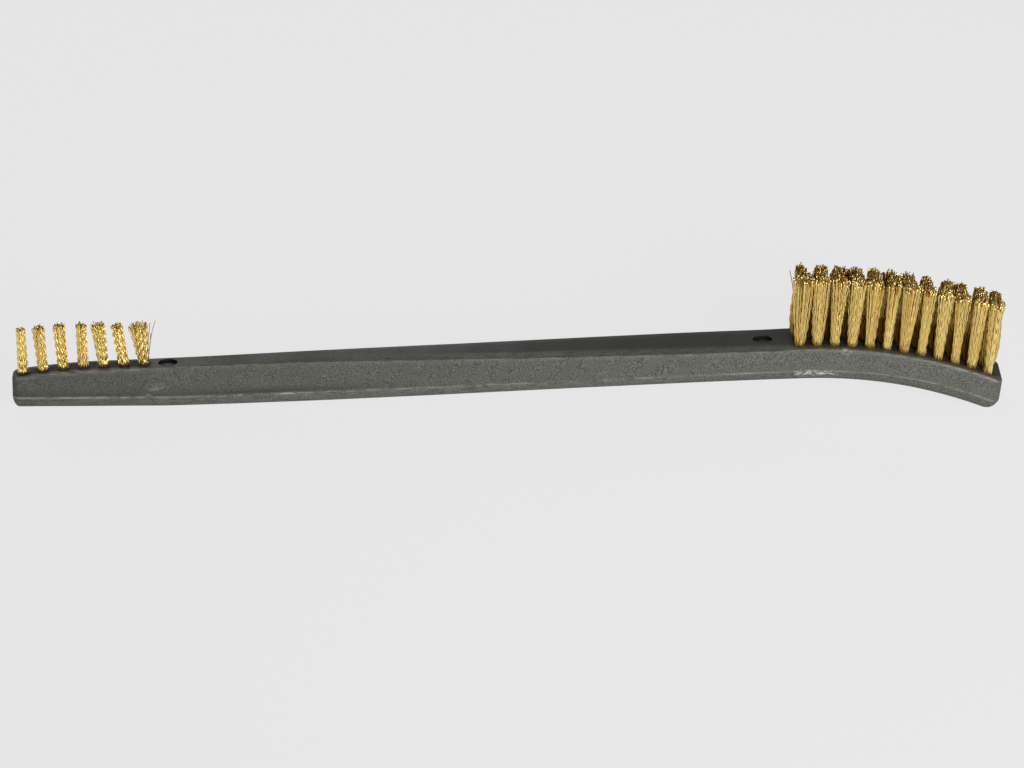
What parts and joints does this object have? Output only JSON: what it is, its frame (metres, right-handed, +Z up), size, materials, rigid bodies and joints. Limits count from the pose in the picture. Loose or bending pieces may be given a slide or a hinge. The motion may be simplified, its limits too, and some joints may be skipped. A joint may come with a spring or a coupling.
{
  "type": "brass wire brush",
  "caption": "Double-ended brass wire brush: a slim moulded plastic handle with a narrow one-row head at one end and a wide curved three-row head at the other, for cleaning parts by hand.",
  "frame": {"origin": "on the ground under the middle of the brush, as it lies on its back with the wires up", "axes": "+X along the handle from the small head to the large head, +Z up the way the wires point, +Y across the handle"},
  "size_m": [0.1778, 0.0114, 0.0247],
  "materials": {
    "handle_plastic": "dark grey moulded plastic, satin, lightly scuffed",
    "brass_wire": "fine drawn wire, cut ends darker",
    "anchor_brass": "flat drawn wire, cut to length"
  },
  "bodies": {
    "root": {"handle": "handle_plastic", "small_head_tufts": "brass_wire", "large_head_front_tufts": "brass_wire", "large_head_middle_tufts": "brass_wire", "large_head_rear_tufts": "brass_wire", "small_head_anchor_01": "anchor_brass", "small_head_anchor_02": "anchor_brass", "small_head_anchor_03": "anchor_brass", "small_head_anchor_04": "anchor_brass", "small_head_anchor_05": "anchor_brass", "small_head_anchor_06": "anchor_brass", "small_head_anchor_07": "anchor_brass", "large_head_front_anchor_01": "anchor_brass", "large_head_front_anchor_02": "anchor_brass", "large_head_front_anchor_03": "anchor_brass", "large_head_front_anchor_04": "anchor_brass", "large_head_front_anchor_05": "anchor_brass", "large_head_front_anchor_06": "anchor_brass", "large_head_front_anchor_07": "anchor_brass", "large_head_front_anchor_08": "anchor_brass", "large_head_front_anchor_09": "anchor_brass", "large_head_front_anchor_10": "anchor_brass", "large_head_front_anchor_11": "anchor_brass", "large_head_front_anchor_12": "anchor_brass", "large_head_middle_anchor_01": "anchor_brass", "large_head_middle_anchor_02": "anchor_brass", "large_head_middle_anchor_03": "anchor_brass", "large_head_middle_anchor_04": "anchor_brass", "large_head_middle_anchor_05": "anchor_brass", "large_head_middle_anchor_06": "anchor_brass", "large_head_middle_anchor_07": "anchor_brass", "large_head_middle_anchor_08": "anchor_brass", "large_head_middle_anchor_09": "anchor_brass", "large_head_middle_anchor_10": "anchor_brass", "large_head_middle_anchor_11": "anchor_brass", "large_head_middle_anchor_12": "anchor_brass", "large_head_rear_anchor_01": "anchor_brass", "large_head_rear_anchor_02": "anchor_brass", "large_head_rear_anchor_03": "anchor_brass", "large_head_rear_anchor_04": "anchor_brass", "large_head_rear_anchor_05": "anchor_brass", "large_head_rear_anchor_06": "anchor_brass", "large_head_rear_anchor_07": "anchor_brass", "large_head_rear_anchor_08": "anchor_brass", "large_head_rear_anchor_09": "anchor_brass", "large_head_rear_anchor_10": "anchor_brass", "large_head_rear_anchor_11": "anchor_brass", "large_head_rear_anchor_12": "anchor_brass"}
  },
  "joints": []
}
